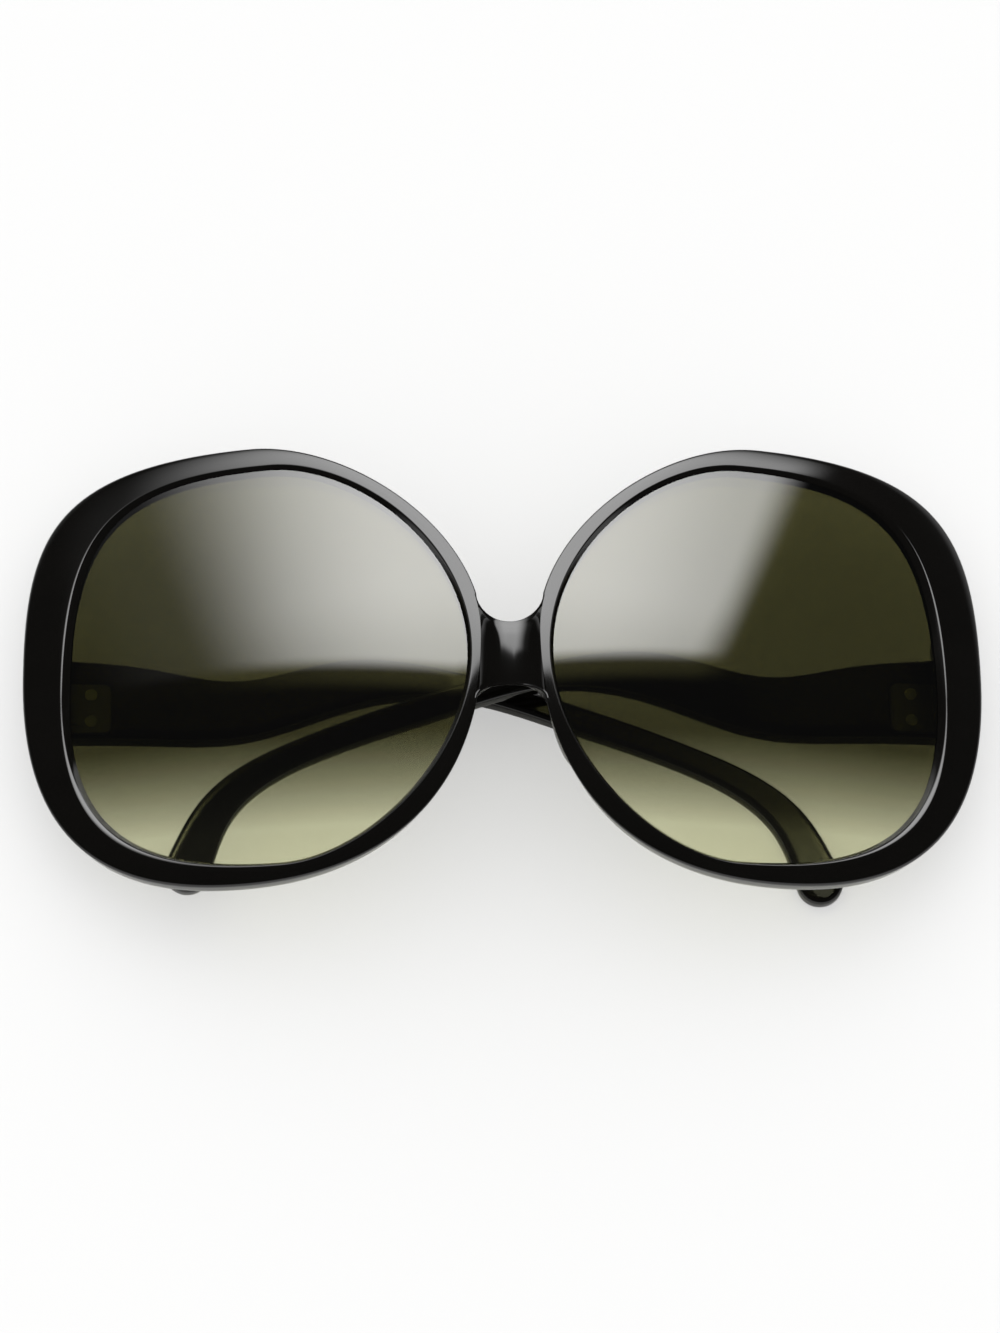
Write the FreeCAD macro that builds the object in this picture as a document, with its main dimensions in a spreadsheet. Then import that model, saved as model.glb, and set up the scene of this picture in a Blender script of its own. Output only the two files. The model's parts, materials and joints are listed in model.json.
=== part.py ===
import FreeCAD, Part
import math
import os
from FreeCAD import Placement, Rotation, Vector

# Oversized sunglasses, folded, lying face up on a table.
# X runs across the face, Y from the cheeks to the brow and Z up from the table to the front of the lenses.
# The left temple lies flat on the table at Z = 0 and the right temple crosses above it.

LEFT = -1
RIGHT = 1
SIDE_NAME = {LEFT: "left", RIGHT: "right"}
UP = Vector(0, 0, 1)
ALONG_Y = Rotation(Vector(1, 0, 0), -90)

driving_sizes = {
    # front seen square on, in millimetres
    "front_width": 153.2,
    "front_height": 72.5,
    "crest_offset": 40.7,
    "sole_offset": 41.8,
    "side_level": 0.75,
    "nose_level": 2.25,
    "rim_gap": 8.4,
    "rim_top": 4.3,
    "rim_bottom": 3.5,
    "rim_side": 7.7,
    "rim_nose": 2.5,
    "lens_crest_offset": 37.5,
    "lens_sole_offset": 36.0,
    "lens_side_level": -3.35,
    "lens_nose_level": -0.75,
    # fullness of each quarter of the outline: 0.55 is round, more is squarer
    "rim_nose_up": 0.50,
    "rim_crest_in": 0.42,
    "rim_crest_out": 0.85,
    "rim_side_up": 0.75,
    "rim_side_down": 0.55,
    "rim_sole_out": 0.78,
    "rim_sole_in": 0.51,
    "rim_nose_down": 0.69,
    "lens_nose_up": 0.55,
    "lens_crest_in": 0.41,
    "lens_crest_out": 0.73,
    "lens_side_up": 0.85,
    "lens_side_down": 0.66,
    "lens_sole_out": 0.74,
    "lens_sole_in": 0.47,
    "lens_nose_down": 0.53,
    # curve and thickness of the front
    "face_radius": 160.0,
    "front_thickness": 4.0,
    "rim_bevel": 1.1,
    "edge_round": 0.8,
    "lens_inset": 1.2,
    "lens_thickness": 1.9,
    "groove_depth": 0.8,
    "groove_clearance": 0.05,
    # bridge and nose pads
    "notch_radius": 4.3,
    "notch_level": 8.85,
    "arch_level": -5.95,
    "arch_rise": 1.0,
    "saddle_depth": 1.8,
    "pad_level": -12.5,
    "pad_inset": 4.3,
    "pad_lean_angle": 24.0,
    "pad_width": 3.4,
    "pad_length": 13.0,
    "pad_depth": 4.5,
    # end pieces and hinges; the margin is from the lens opening to the front leaf
    "end_piece_depth": 5.5,
    "leaf_margin": 0.1,
    "hinge_level": -2.15,
    "axis_to_front": 1.9,
    "axis_to_temple": 1.8,
    "barrel_radius": 1.4,
    "screw_radius": 0.7,
    "running_fit": 0.04,
    "knuckle_length": 2.1,
    "knuckle_gap": 0.1,
    "web_width": 2.2,
    "front_leaf_width": 3.2,
    "front_leaf_thickness": 0.8,
    "anchor_width": 1.6,
    "anchor_length": 3.6,
    "anchor_depth": 1.6,
    "temple_leaf_length": 8.0,
    "temple_leaf_height": 8.1,
    "temple_leaf_thickness": 1.0,
    "leaf_corner_radius": 1.2,
    "head_radius": 1.2,
    "head_height": 0.6,
    "slot_width": 0.35,
    "slot_depth": 0.3,
    "rivet_radius": 0.6,
    "rivet_length": 2.0,
    "rivet_head_radius": 1.0,
    "rivet_head_height": 0.3,
    "rivet_spacing": 4.4,
    "rivet_from_axis": 4.8,
    "rivet_fit": 0.02,
    # temples: distance along the arm from the hinge axis, level of the middle line and height of the arm
    "butt_clearance": 0.3,
    "butt_level": -0.55,
    "butt_height": 13.6,
    "shoulder_along": 14.4,
    "shoulder_level": -1.4,
    "shoulder_height": 12.1,
    "trough_along": 28.4,
    "trough_level": -2.15,
    "trough_height": 9.85,
    "hump_along": 46.0,
    "hump_level": 2.4,
    "hump_height": 7.95,
    "neck_along": 61.4,
    "neck_level": 2.5,
    "neck_height": 4.6,
    "arm_along": 81.4,
    "arm_level": -3.1,
    "arm_height": 4.3,
    "bow_along": 100.7,
    "bow_level": -10.35,
    "bow_height": 4.3,
    "hook_along": 116.0,
    "hook_level": -20.6,
    "hook_height": 5.8,
    "tip_along": 120.8,
    "tip_level": -30.75,
    "tip_height": 7.4,
    "temple_thickness": 4.2,
    "tip_thickness": 3.0,
    "temple_round": 0.9,
    "mitre_length": 2.4,
    "mitre_depth": 0.7,
    "core_width": 1.4,
    "core_thickness": 1.0,
    "core_cover": 1.0,
    # room left between the folded temples where they cross
    "fold_gap": 1.2,
}

doc = FreeCAD.newDocument("sunglasses")
sheet = doc.addObject("Spreadsheet::Sheet", "Sizes")
for row, (alias, value) in enumerate(driving_sizes.items(), start=1):
    sheet.set(f"A{row}", alias)
    sheet.set(f"B{row}", str(value))
    sheet.setAlias(f"B{row}", alias)
doc.recompute()


def size(alias):
    return float(sheet.get(alias))


def bind(thing, **expressions):
    """Tie properties of a document object to the sheet; a double underscore stands for a dot."""
    for name, text in expressions.items():
        thing.setExpression(name.replace("__", "."), text)
    return thing


def add(kind, name, **values):
    thing = doc.addObject(kind, name)
    for key, value in values.items():
        setattr(thing, key, value)
    return thing


def cut(name, base, tool):
    return add("Part::Cut", name, Base=base, Tool=tool)


def common(name, base, tool):
    return add("Part::Common", name, Base=base, Tool=tool)


def fuse(name, *pieces):
    return add("Part::MultiFuse", name, Shapes=list(pieces))


def outline(name, curves, placement=Placement()):
    sketch = add("Sketcher::SketchObject", name, Placement=placement)
    for curve in curves:
        sketch.addGeometry(curve, False)
    return sketch


def extrude(name, sketch, direction, forward, back="0"):
    """Solid of a flat outline, as long on each side of its plane as the expressions say."""
    solid = add("Part::Extrusion", name, Base=sketch, DirMode="Custom", Dir=direction, Solid=True)
    return bind(solid, LengthFwd=forward, LengthRev=back)


def cubic(start, handle_start, handle_end, end):
    curve = Part.BSplineCurve()
    poles = [Vector(x, y, 0) for x, y in (start, handle_start, handle_end, end)]
    curve.buildFromPolesMultsKnots(poles, [4, 4], [0, 1], False, 3)
    return curve


def smooth(points):
    curve = Part.BSplineCurve()
    curve.interpolate(points)
    return curve


def line(start, end):
    return Part.LineSegment(start, end)


def samples(edge):
    """Both ends and the middle of an edge."""
    first, last = edge.ParameterRange
    return [edge.valueAt(first + part * (last - first)) for part in (0, 0.5, 1)]


def dress(kind, name, base, wanted, amount):
    """Fillet or chamfer of the edges of a solid that pass a test."""
    doc.recompute()
    numbers = [number for number, edge in enumerate(base.Shape.Edges, start=1) if wanted(edge)]
    return add(kind, name, Base=base, Edges=[(number, amount, amount) for number in numbers])


# places worked out from the driving sizes
half_width = size("front_width") / 2
half_height = size("front_height") / 2
hinge_offset = half_width - size("rim_side") + size("leaf_margin") + size("front_leaf_width") / 2
axis_height = size("temple_thickness") + size("axis_to_temple")
seat_height = axis_height + size("axis_to_front")
hinge_sag = size("face_radius") - math.sqrt(size("face_radius") ** 2 - hinge_offset ** 2)
apex_height = seat_height + size("end_piece_depth") + hinge_sag
butt_reach = size("axis_to_front") - size("butt_clearance")
outer_face = -axis_height

# how close counts as lying on a face or a curve, and the greatest share of its wall that a bevel or round may take
near = 0.001
bevel_share = 0.9
rim_round_share = 0.3
temple_round_share = 0.4

AXIS_HEIGHT = "(Sizes.temple_thickness + Sizes.axis_to_temple)"
SEAT_HEIGHT = f"({AXIS_HEIGHT} + Sizes.axis_to_front)"
LENS_SIDE = "(Sizes.front_width / 2 - Sizes.rim_side)"
HINGE_OFFSET = f"({LENS_SIDE} + Sizes.leaf_margin + Sizes.front_leaf_width / 2)"
HINGE_SAG = f"(Sizes.face_radius - sqrt(Sizes.face_radius^2 - {HINGE_OFFSET}^2))"
APEX_HEIGHT = f"({SEAT_HEIGHT} + Sizes.end_piece_depth + {HINGE_SAG})"
INNER_FOLD = f"asin((Sizes.temple_thickness + Sizes.fold_gap) / {HINGE_OFFSET})"
TALL = "(2 * Sizes.front_width)"


def loop(hand, nose, crest, side, sole, prefix):
    """Closed outline of one eye in four quarters, each leaving its ends along X or Y."""

    def between(start, end, fullness):
        return start + size(f"{prefix}_{fullness}") * (end - start)

    def mirrored(*points):
        return cubic(*[(hand * x, y) for x, y in points])

    return [
        mirrored(nose, (nose[0], between(nose[1], crest[1], "nose_up")),
                 (between(crest[0], nose[0], "crest_in"), crest[1]), crest),
        mirrored(crest, (between(crest[0], side[0], "crest_out"), crest[1]),
                 (side[0], between(side[1], crest[1], "side_up")), side),
        mirrored(side, (side[0], between(side[1], sole[1], "side_down")),
                 (between(sole[0], side[0], "sole_out"), sole[1]), sole),
        mirrored(sole, (between(sole[0], nose[0], "sole_in"), sole[1]),
                 (nose[0], between(nose[1], sole[1], "nose_down")), nose),
    ]


def rim_loop(hand):
    nose = (size("rim_gap") / 2, size("nose_level"))
    crest = (size("crest_offset"), half_height)
    side = (half_width, size("side_level"))
    sole = (size("sole_offset"), -half_height)
    return loop(hand, nose, crest, side, sole, "rim")


def lens_loop(hand, grow):
    nose = (size("rim_gap") / 2 + size("rim_nose") - grow, size("lens_nose_level"))
    crest = (size("lens_crest_offset"), half_height - size("rim_top") + grow)
    side = (half_width - size("rim_side") + grow, size("lens_side_level"))
    sole = (size("lens_sole_offset"), -half_height + size("rim_bottom") - grow)
    return loop(hand, nose, crest, side, sole, "lens")


def ball(name, inset):
    """Ball whose surface lies the given expression below the face of the front."""
    seam_below = Rotation(Vector(0, 1, 0), 90)
    sphere = add("Part::Sphere", name, Placement=Placement(Vector(), seam_below))
    return bind(sphere, Radius=f"Sizes.face_radius - ({inset})",
                Placement__Base__z=f"{APEX_HEIGHT} - Sizes.face_radius")


def shell(name, outline_solid, inset, thickness):
    """Part of an upright solid that lies in a curved layer of the front."""
    outer = ball(f"{name}_face", inset)
    inner = ball(f"{name}_back", f"{inset} + {thickness}")
    return cut(name, common(f"{name}_blank", outline_solid, outer), inner)


def on_face(edge):
    """Whether an edge lies on the curved face of the front."""
    middle = Vector(0, 0, apex_height - size("face_radius"))
    return all(abs((point - middle).Length - size("face_radius")) < near for point in samples(edge))


def follows(edge, curves):
    """Whether an edge runs above one of the curves of an outline."""
    flat = [Part.Vertex(point.x, point.y, 0) for point in samples(edge)]
    return any(all(curve.toShape().distToShape(point)[0] < near for point in flat) for curve in curves)


def on_opening(edge):
    return follows(edge, lens_loop(LEFT, 0) + lens_loop(RIGHT, 0))


def on_rim(edge):
    return follows(edge, rim_loop(LEFT) + rim_loop(RIGHT))


def bridge_outline():
    reach = size("rim_gap") / 2 + size("rim_nose") / 2
    notch = size("notch_level")
    radius = size("notch_radius")
    arch = size("arch_level")
    foot = arch - size("arch_rise")
    corner = [Vector(-reach, notch, 0), Vector(-radius, notch, 0), Vector(radius, notch, 0),
              Vector(reach, notch, 0), Vector(reach, foot, 0), Vector(-reach, foot, 0)]
    return [
        line(corner[0], corner[1]),
        Part.Arc(corner[1], Vector(0, notch - radius, 0), corner[2]),
        line(corner[2], corner[3]),
        line(corner[3], corner[4]),
        Part.Arc(corner[4], Vector(0, arch, 0), corner[5]),
        line(corner[5], corner[0]),
    ]


def nose_pad(hand):
    """Pad moulded on the back of the nose side of a rim, leaning as the rim does."""
    side = SIDE_NAME[hand]
    lean = Placement(Vector(), Rotation(UP, hand * size("pad_lean_angle")))
    pad = add("Part::Ellipsoid", f"nose_pad_{side}", Placement=lean)
    offset = "(Sizes.rim_gap / 2 + Sizes.pad_inset)"
    back = f"({APEX_HEIGHT} - Sizes.front_thickness)"
    bind(pad, Radius1="Sizes.pad_depth", Radius2="Sizes.pad_width / 2", Radius3="Sizes.pad_length / 2",
         Placement__Base__x=f"{hand} * {offset}", Placement__Base__y="Sizes.pad_level",
         Placement__Base__z=back)
    return common(f"pad_{side}", pad, ball(f"pad_face_{side}", "Sizes.lens_inset"))


def end_piece(hand, eye):
    """Block behind the outer rim with the flat seat of the hinge; the lens opening trims its inner side."""
    side = SIDE_NAME[hand]
    block = add("Part::Box", f"end_block_{side}")
    bind(block, Length="2 * Sizes.rim_side", Width="Sizes.butt_height", Height="Sizes.end_piece_depth",
         Placement__Base__x=f"{hand} * {LENS_SIDE} - Sizes.rim_side",
         Placement__Base__y="Sizes.butt_level - Sizes.butt_height / 2",
         Placement__Base__z=SEAT_HEIGHT)
    return common(f"end_piece_{side}", block, eye)


def lens(hand):
    side = SIDE_NAME[hand]
    disc = extrude(f"lens_disc_{side}", outline(f"lens_outline_{side}", lens_loop(hand, size("groove_depth"))),
                   UP, TALL)
    return shell(f"lens_{side}", disc, "Sizes.lens_inset", "Sizes.lens_thickness")


def groove(hand):
    """Channel for a lens edge, larger than the lens by the clearance all round."""
    side = SIDE_NAME[hand]
    grow = size("groove_depth") + size("groove_clearance")
    disc = extrude(f"groove_disc_{side}", outline(f"groove_outline_{side}", lens_loop(hand, grow)), UP, TALL)
    return shell(f"groove_{side}", disc, "Sizes.lens_inset - Sizes.groove_clearance",
                 "Sizes.lens_thickness + 2 * Sizes.groove_clearance")


def opening(hand):
    side = SIDE_NAME[hand]
    return extrude(f"opening_{side}", outline(f"opening_outline_{side}", lens_loop(hand, 0)), UP, TALL)


def box(name, x, y, z):
    """Box between two expressions on each axis."""
    block = add("Part::Box", name)
    bind(block, Length=f"{x[1]} - ({x[0]})", Width=f"{y[1]} - ({y[0]})", Height=f"{z[1]} - ({z[0]})")
    return bind(block, Placement__Base__x=x[0], Placement__Base__y=y[0], Placement__Base__z=z[0])


def rod(name, radius, x, y, z):
    """Cylinder along Y between two expressions."""
    cylinder = add("Part::Cylinder", name, Placement=Placement(Vector(), ALONG_Y))
    bind(cylinder, Radius=radius, Height=f"{y[1]} - ({y[0]})")
    return bind(cylinder, Placement__Base__x=x, Placement__Base__y=y[0], Placement__Base__z=z)


def peg(name, radius, x, y, z):
    """Cylinder along Z between two expressions."""
    cylinder = add("Part::Cylinder", name)
    bind(cylinder, Radius=radius, Height=f"{z[1]} - ({z[0]})")
    return bind(cylinder, Placement__Base__x=x, Placement__Base__y=y, Placement__Base__z=z[0])


def around(middle, half):
    return f"{middle} - {half}", f"{middle} + {half}"


HALF_KNUCKLE = "Sizes.knuckle_length / 2"
HALF_HINGE = "(Sizes.knuckle_length * 1.5 + Sizes.knuckle_gap)"
HINGE_LEVEL = "Sizes.hinge_level"
BORE = "Sizes.screw_radius + Sizes.running_fit"


def front_leaf(hand):
    """Leaf anchored in the end piece, with the two outer knuckles of the hinge."""
    side = SIDE_NAME[hand]
    axis = f"{hand} * {HINGE_OFFSET}"
    plate_top = f"({SEAT_HEIGHT} + Sizes.front_leaf_thickness)"
    whole = around(HINGE_LEVEL, HALF_HINGE)
    plate = box(f"front_plate_{side}", around(axis, "Sizes.front_leaf_width / 2"), whole,
                (SEAT_HEIGHT, plate_top))
    anchor = box(f"anchor_{side}", around(axis, "Sizes.anchor_width / 2"),
                 around(HINGE_LEVEL, "Sizes.anchor_length / 2"),
                 (plate_top, f"{plate_top} + Sizes.anchor_depth"))
    barrel = rod(f"front_barrel_{side}", "Sizes.barrel_radius", axis, whole, AXIS_HEIGHT)
    web = box(f"front_web_{side}", around(axis, "Sizes.web_width / 2"), whole, (AXIS_HEIGHT, SEAT_HEIGHT))
    middle = around(HINGE_LEVEL, f"({HALF_KNUCKLE} + Sizes.knuckle_gap)")
    room = box(f"middle_room_{side}", around(axis, "2 * Sizes.barrel_radius"), middle,
               (f"{AXIS_HEIGHT} - 2 * Sizes.barrel_radius", SEAT_HEIGHT))
    knuckles = cut(f"front_knuckles_{side}", fuse(f"front_barrels_{side}", barrel, web), room)
    bore = rod(f"front_bore_{side}", BORE, axis, whole, AXIS_HEIGHT)
    solid = fuse(f"front_leaf_solid_{side}", plate, anchor, knuckles)
    leaf = cut(f"hinge_front_leaf_{side}", solid, bore)
    return leaf, fuse(f"front_leaf_seat_{side}", plate, anchor)


def screw(hand):
    """Slotted hinge screw, put in from the brow side."""
    side = SIDE_NAME[hand]
    axis = f"{hand} * {HINGE_OFFSET}"
    bottom, top = around(HINGE_LEVEL, HALF_HINGE)
    head_top = f"{top} + Sizes.head_height"
    shank = rod(f"shank_{side}", "Sizes.screw_radius", axis, (bottom, top), AXIS_HEIGHT)
    head = rod(f"head_{side}", "Sizes.head_radius", axis, (top, head_top), AXIS_HEIGHT)
    slot = box(f"slot_{side}", around(axis, "Sizes.head_radius"), (f"{head_top} - Sizes.slot_depth", head_top),
               around(AXIS_HEIGHT, "Sizes.slot_width / 2"))
    return cut(f"hinge_screw_{side}", fuse(f"screw_blank_{side}", shank, head), slot)


stations = ["butt", "shoulder", "trough", "hump", "neck", "arm", "bow", "hook", "tip"]


def station_along(name):
    """Distance of a place on the arm from the hinge axis."""
    return -butt_reach if name == "butt" else size(f"{name}_along")


def spine():
    return smooth([Vector(station_along(name), size(f"{name}_level"), 0) for name in stations])


def beside_spine(names, half_height_of, sign):
    """Points beside the middle line of the arm, one for each station."""
    middle = spine()
    points = []
    for name in names:
        here = Vector(station_along(name), size(f"{name}_level"), 0)
        tangent = middle.tangent(middle.parameter(here))[0]
        if name == "butt":
            tangent = Vector(1, 0, 0)
        points.append(here + Vector(-tangent.y, tangent.x, 0) * sign * half_height_of(name))
    return points


def turned(points, arm):
    return [Vector(arm * point.x, point.y, point.z) for point in points]


def half_arm(name):
    return size(f"{name}_height") / 2


def half_core(name):
    return size("core_width") / 2


def temple_outline(arm):
    upper = turned(beside_spine(stations, half_arm, 1), arm)
    lower = turned(beside_spine(stations, half_arm, -1), arm)
    middle = spine()
    tip = Vector(size("tip_along"), size("tip_level"), 0)
    beyond = tip + middle.tangent(middle.parameter(tip))[0] * half_arm("tip")
    end = turned([beyond], arm)[0]
    return [smooth(upper), Part.Arc(upper[-1], end, lower[-1]), smooth(lower), line(lower[0], upper[0])]


def core_outline(arm):
    covered = stations[1:-1]
    upper = turned(beside_spine(covered, half_core, 1), arm)
    lower = turned(beside_spine(covered, half_core, -1), arm)
    return [smooth(upper), line(upper[-1], lower[-1]), smooth(lower), line(lower[0], upper[0])]


def side_profile(arm):
    """Long side of the temple: mitred butt, full thickness to the shoulder, then a taper to the tip."""
    inner_face = -size("axis_to_temple")
    far = size("tip_along") + size("tip_height")
    corners = [
        (-butt_reach, outer_face + size("mitre_depth")),
        (-butt_reach, inner_face),
        (size("shoulder_along"), inner_face),
        (far, outer_face + size("tip_thickness")),
        (far, outer_face),
        (size("mitre_length") - butt_reach, outer_face),
    ]
    points = [Vector(arm * along, height, 0) for along, height in corners]
    return [line(start, end) for start, end in zip(points, points[1:] + points[:1])]


def temple_leaf_outline(arm):
    """Rounded plate from just past the axis to its far end."""
    radius = size("leaf_corner_radius")
    low = size("hinge_level") - size("temple_leaf_height") / 2
    high = size("hinge_level") + size("temple_leaf_height") / 2
    start = -size("web_width") / 2
    far = size("temple_leaf_length")
    bend = radius * (1 - math.sqrt(0.5))
    run = [Vector(start, low, 0), Vector(far - radius, low, 0), Vector(far - bend, low + bend, 0),
           Vector(far, low + radius, 0), Vector(far, high - radius, 0), Vector(far - bend, high - bend, 0),
           Vector(far - radius, high, 0), Vector(start, high, 0)]
    run = turned(run, arm)
    return [line(run[0], run[1]), Part.Arc(*run[1:4]), line(run[3], run[4]), Part.Arc(*run[4:7]),
            line(run[6], run[7]), line(run[7], run[0])]


def place_temple(hand, piece):
    """Carry a piece from the temple's own frame, whose origin is the hinge axis, to its folded place."""
    if hand == RIGHT:
        piece.Placement = Placement(Vector(), Rotation(Vector(0, 1, 0), 1))
        bind(piece, Placement__Rotation__Angle=INNER_FOLD)
    return bind(piece, Placement__Base__x=f"{hand} * {HINGE_OFFSET}", Placement__Base__z=AXIS_HEIGHT)


INNER_FACE = "-Sizes.axis_to_temple"
OUTER_FACE = f"-{AXIS_HEIGHT}"


def layer(name, curves, bottom, thickness):
    """Flat solid of an outline from one level up."""
    sketch = bind(outline(f"{name}_outline", curves), Placement__Base__z=bottom)
    return extrude(name, sketch, UP, thickness)


def along_arm(edge):
    """Whether an edge runs along the arm on its inner or outer face, clear of the mitre."""
    middle = outer_face + size("tip_thickness") / 2
    ends = samples(edge)
    faced = all(abs(point.z - outer_face) < near for point in ends) or all(point.z > middle for point in ends)
    return faced and edge.Curve.TypeId != "Part::GeomLine"


def temple(hand):
    """Arm, hinge leaf, rivets and core of one temple."""
    side = SIDE_NAME[hand]
    arm = -hand
    plan = layer(f"temple_plan_{side}", temple_outline(arm), OUTER_FACE, "Sizes.temple_thickness")
    upright = Placement(Vector(), Rotation(Vector(1, 0, 0), 90))
    profile = outline(f"temple_profile_{side}", side_profile(arm), upright)
    strip = extrude(f"temple_strip_{side}", profile, Vector(0, 1, 0), TALL, TALL)
    sharp = common(f"temple_sharp_{side}", plan, strip)
    blank = dress("Part::Fillet", f"temple_blank_{side}", sharp, along_arm,
                  min(size("temple_round"), temple_round_share * size("tip_thickness")))

    core_bottom = f"{OUTER_FACE} + Sizes.core_cover"
    core = layer(f"core_wire_{side}", core_outline(arm), core_bottom, "Sizes.core_thickness")
    core_room = layer(f"core_room_{side}", core_outline(arm), core_bottom, "Sizes.core_thickness")

    plate_bottom = f"({INNER_FACE} - Sizes.temple_leaf_thickness)"
    plate = layer(f"temple_plate_{side}", temple_leaf_outline(arm), plate_bottom, "Sizes.temple_leaf_thickness")
    knuckle = around(HINGE_LEVEL, HALF_KNUCKLE)
    barrel = rod(f"temple_barrel_{side}", "Sizes.barrel_radius", "0", knuckle, "0")
    web = box(f"temple_web_{side}", around("0", "Sizes.web_width / 2"), knuckle, (INNER_FACE, "0"))
    bore = rod(f"temple_bore_{side}", BORE, "0", knuckle, "0")
    rivets, holes = [], []
    for row in (-1, 1):
        x = f"{arm} * Sizes.rivet_from_axis"
        y = f"Sizes.hinge_level + {row} * Sizes.rivet_spacing / 2"
        depth = f"{INNER_FACE} - Sizes.rivet_length"
        name = f"{side}_{'lower' if row < 0 else 'upper'}"
        shank = peg(f"rivet_shank_{name}", "Sizes.rivet_radius", x, y, (depth, INNER_FACE))
        head = peg(f"rivet_head_{name}", "Sizes.rivet_head_radius", x, y,
                   (INNER_FACE, f"{INNER_FACE} + Sizes.rivet_head_height"))
        rivets.append(fuse(f"rivet_{name}", shank, head))
        holes.append(peg(f"rivet_hole_{name}", "Sizes.rivet_radius + Sizes.rivet_fit", x, y,
                         (f"{depth} - Sizes.rivet_fit", INNER_FACE)))
    solid = fuse(f"temple_leaf_solid_{side}", plate, barrel, web)
    leaf = cut(f"hinge_temple_leaf_{side}", solid, fuse(f"leaf_holes_{side}", bore, *holes))
    pockets = fuse(f"temple_pockets_{side}", plate, core_room, *holes)
    body = cut(f"temple_{side}", blank, pockets)
    pair = add("Part::Compound", f"hinge_rivets_{side}", Links=rivets)
    return [place_temple(hand, piece) for piece in (body, leaf, core, pair)]


def front(seats):
    """Rims, bridge, end pieces and nose pads in one moulding, with grooves for the lenses."""
    eyes = [extrude(f"eye_{SIDE_NAME[hand]}", outline(f"eye_outline_{SIDE_NAME[hand]}", rim_loop(hand)), UP, TALL)
            for hand in (LEFT, RIGHT)]
    rims = shell("rims", fuse("eyes", *eyes), "0", "Sizes.front_thickness")
    saddle = extrude("saddle", outline("bridge_outline", bridge_outline()), UP, TALL)
    bridge = shell("bridge", saddle, "Sizes.saddle_depth", "(Sizes.front_thickness - Sizes.saddle_depth)")
    blocks = fuse("end_pieces", *[end_piece(hand, eye) for hand, eye in zip((LEFT, RIGHT), eyes)])
    blocks = common("end_pieces_trimmed", blocks, ball("end_face", "Sizes.lens_inset"))
    pads = [nose_pad(hand) for hand in (LEFT, RIGHT)]
    blank = fuse("front_blank", rims, bridge, blocks, *pads)
    tools = [groove(hand) for hand in (LEFT, RIGHT)] + [opening(hand) for hand in (LEFT, RIGHT)] + seats
    tools.append(box("hinge_land", around("0", "Sizes.front_width"), around("0", "Sizes.front_height"),
                     ("0", SEAT_HEIGHT)))
    sharp = cut("front_sharp", blank, fuse("front_cuts", *tools))
    beveled = dress("Part::Chamfer", "front_beveled", sharp, lambda edge: on_face(edge) and on_opening(edge),
                    min(size("rim_bevel"), bevel_share * size("lens_inset")))
    return dress("Part::Fillet", "front_frame", beveled, lambda edge: on_face(edge) and on_rim(edge),
                 min(size("edge_round"), rim_round_share * size("front_thickness")))


pieces = []
seats = []
for hand in (LEFT, RIGHT):
    pieces.append(lens(hand))
    leaf, seat = front_leaf(hand)
    pieces.append(leaf)
    seats.append(seat)
    pieces.append(screw(hand))
    pieces.extend(temple(hand))
pieces.append(front(seats))
doc.recompute()

for thing in doc.Objects:
    if "Invalid" in thing.State or "Error" in thing.State:
        raise RuntimeError(f"{thing.Name} failed: {thing.State}")
for piece in pieces:
    if piece.Shape.isNull() or not piece.Shape.isValid() or not piece.Shape.Solids:
        raise RuntimeError(f"{piece.Label} has no valid solid")

os.makedirs("parts", exist_ok=True)
for piece in pieces:
    piece.Shape.exportStep(f"parts/{piece.Label}.step")
    bounds = piece.Shape.BoundBox
    print(f"{piece.Label}: {len(piece.Shape.Solids)} solid, {piece.Shape.Volume:.1f} mm3, "
          f"z {bounds.ZMin:.2f} to {bounds.ZMax:.2f}")
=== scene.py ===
import json
import math

import bmesh
import bpy
import numpy as np
from mathutils import Matrix, Vector


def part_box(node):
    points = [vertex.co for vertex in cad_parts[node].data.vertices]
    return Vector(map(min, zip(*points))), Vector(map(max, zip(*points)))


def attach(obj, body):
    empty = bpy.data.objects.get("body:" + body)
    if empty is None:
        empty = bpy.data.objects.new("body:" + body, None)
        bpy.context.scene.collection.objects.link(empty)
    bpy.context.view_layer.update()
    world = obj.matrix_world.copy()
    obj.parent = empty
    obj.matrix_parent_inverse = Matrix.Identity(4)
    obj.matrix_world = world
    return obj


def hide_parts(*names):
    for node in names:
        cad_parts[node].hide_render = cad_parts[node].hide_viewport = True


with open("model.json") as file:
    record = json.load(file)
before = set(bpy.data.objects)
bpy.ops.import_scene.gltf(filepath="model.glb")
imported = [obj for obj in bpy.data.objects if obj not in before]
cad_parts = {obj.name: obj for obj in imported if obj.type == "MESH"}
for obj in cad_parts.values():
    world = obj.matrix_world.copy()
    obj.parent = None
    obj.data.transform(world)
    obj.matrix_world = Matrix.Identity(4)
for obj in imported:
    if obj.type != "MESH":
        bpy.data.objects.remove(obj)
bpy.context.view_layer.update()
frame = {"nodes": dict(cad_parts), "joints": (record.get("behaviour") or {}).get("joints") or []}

# Oversized sunglasses, folded, face up on a pale table.
# Shapes and the camera are set in millimetres, the rest in metres.
mm = 0.001
white = (1, 1, 1, 1)
hands = {"left": -1, "right": 1}
hingeAxis = {joint["child"]: Vector(joint["pos_m"]) / mm for joint in frame["joints"]}
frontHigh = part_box("front_frame")[1] / mm


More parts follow.
